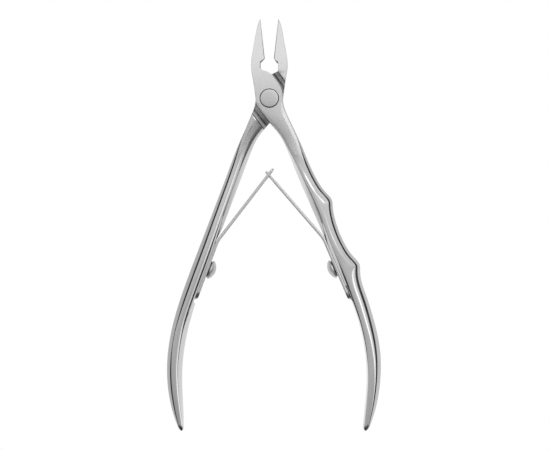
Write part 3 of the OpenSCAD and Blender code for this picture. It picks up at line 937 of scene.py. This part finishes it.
def floor_material():
    """A pale table. It looks evenly white, and lights the tool a little less on its outsides."""
    m = bpy.data.materials.new("pale_floor")
    m.use_nodes = True
    tree = m.node_tree
    tree.nodes.clear()
    lit = split_by_camera(tree, "ShaderNodeOutputMaterial", "ShaderNodeEmission")
    coord = tree.nodes.new("ShaderNodeTexCoord")
    x, y = axes(tree, coord.outputs["Object"])[:2]
    # how far a point lies inside the bow of the handles, in metres
    bow = math_node(tree, "ADD", y, BOW_Y)
    bow = math_node(tree, "MULTIPLY", bow, bow)
    reach = math_node(tree, "MULTIPLY_ADD", bow, -BOW_BEND, BOW_X)
    inside = math_node(tree, "SUBTRACT", reach, math_node(tree, "ABSOLUTE", x))
    right = rescale(tree, x, 0.0, 0.01, 0.0, 1.0)
    lower = rescale(tree, y, -0.055, -0.03, 1.0, 0.0)
    outer = math_node(tree, "MULTIPLY_ADD", math_node(tree, "MULTIPLY", right, lower), GLOW_RIGHT,
                      GLOW_OUTSIDE)
    share = rescale(tree, inside, 0.0015, 0.0055, 0.0, 1.0)
    rest = math_node(tree, "SUBTRACT", 1.0, share)
    glow = math_node(tree, "ADD", math_node(tree, "MULTIPLY", share, GLOW_INSIDE),
                     math_node(tree, "MULTIPLY", rest, outer))
    tree.links.new(glow, lit.inputs["Strength"])
    return m


FLOOR_HALF, FLOOR_Z = 6000.0, -0.02
floor = make_mesh("floor", [(-FLOOR_HALF, -FLOOR_HALF, FLOOR_Z), (FLOOR_HALF, -FLOOR_HALF, FLOOR_Z),
                            (FLOOR_HALF, FLOOR_HALF, FLOOR_Z), (-FLOOR_HALF, FLOOR_HALF, FLOOR_Z)],
                  [(0, 1, 2, 3)], [floor_material()])


def grey_ramp(tree, source, stops):
    """A ramp of greys, stops = [(place, grey), ...]."""
    n = tree.nodes.new("ShaderNodeValToRGB")
    elements = n.color_ramp.elements
    while len(elements) < len(stops):
        elements.new(0.5)
    for e, (at, v) in zip(elements, stops):
        e.position = at
        e.color = (v, v, v, 1)
    tree.links.new(source, n.inputs["Fac"])
    return n.outputs["Color"]


# Greys of the dome by direction: by z, from the horizon to overhead, and by y, from the side
# of the handles' tails to the side of the jaws. The second are doubled.
DOME_BY_HEIGHT = [(0.0, 0.04), (0.30, 0.03), (0.50, 0.05), (0.62, 0.66), (0.80, 0.72), (1.0, 0.8)]
DOME_BY_Y = [(-0.4, 0.04), (-0.23, 0.15), (-0.14, 0.33), (0.0, 0.5), (0.24, 0.76), (0.5, 0.95)]
STRIP_GAIN = 1.6                                 # of the bright strip on the right


def studio_dome():
    """A soft dome: grey overhead, brighter towards the jaws and in a strip on the right. Low
    down it is dim, and dark far out on the left and right."""
    world = bpy.data.worlds.new("studio")
    bpy.context.scene.world = world
    world.use_nodes = True
    tree = world.node_tree
    tree.nodes.clear()
    lit = split_by_camera(tree, "ShaderNodeOutputWorld", "ShaderNodeBackground")
    coord = tree.nodes.new("ShaderNodeTexCoord")
    x, y, z = axes(tree, coord.outputs["Generated"])
    wide = math_node(tree, "ABSOLUTE", x)
    dim = rescale(tree, wide, 0.60, 0.76, 0.30, 0.0)
    grey = math_node(tree, "MAXIMUM", grey_ramp(tree, z, DOME_BY_HEIGHT), dim)
    # towards the handles' tails it fades, but less so on the left and right
    along = rescale(tree, y, -1.0, 1.0, 0.0, 1.0, "LINEAR")
    fade = grey_ramp(tree, along, [((at + 1) / 2, v) for at, v in DOME_BY_Y])
    sides = rescale(tree, wide, 0.42, 0.62, 0.0, 0.8)
    fade = math_node(tree, "MULTIPLY", math_node(tree, "MAXIMUM", fade, sides), 2.0)
    strip = math_node(tree, "MULTIPLY", rescale(tree, x, 0.20, 0.33, 0.0, 1.0),
                      rescale(tree, x, 0.40, 0.52, 1.0, 0.0))
    gain = math_node(tree, "MULTIPLY", fade,
                     math_node(tree, "MULTIPLY_ADD", strip, STRIP_GAIN, 1.0))
    tree.links.new(math_node(tree, "MULTIPLY", grey, gain), lit.inputs["Strength"])


studio_dome()
bpy.context.scene.view_settings.view_transform = "Standard"

VIEW_AT = (1.73, -38.4)        # middle of the view in the plan, mm
VIEW_Z = 4.4                   # the height at which the view is VIEW_WIDE across, mm
VIEW_WIDE = 166.9
LENS, SENSOR = 200.0, 36.0
distance = VIEW_WIDE * LENS / SENSOR
camera_data = bpy.data.cameras.new("camera")
camera_data.lens = LENS
camera_data.sensor_width = SENSOR
camera_data.clip_start = 0.01
camera_data.clip_end = 50
camera = bpy.data.objects.new("camera", camera_data)
camera.location = Vector((VIEW_AT[0], VIEW_AT[1], VIEW_Z + distance)) * MM
bpy.context.scene.collection.objects.link(camera)
bpy.context.scene.camera = camera
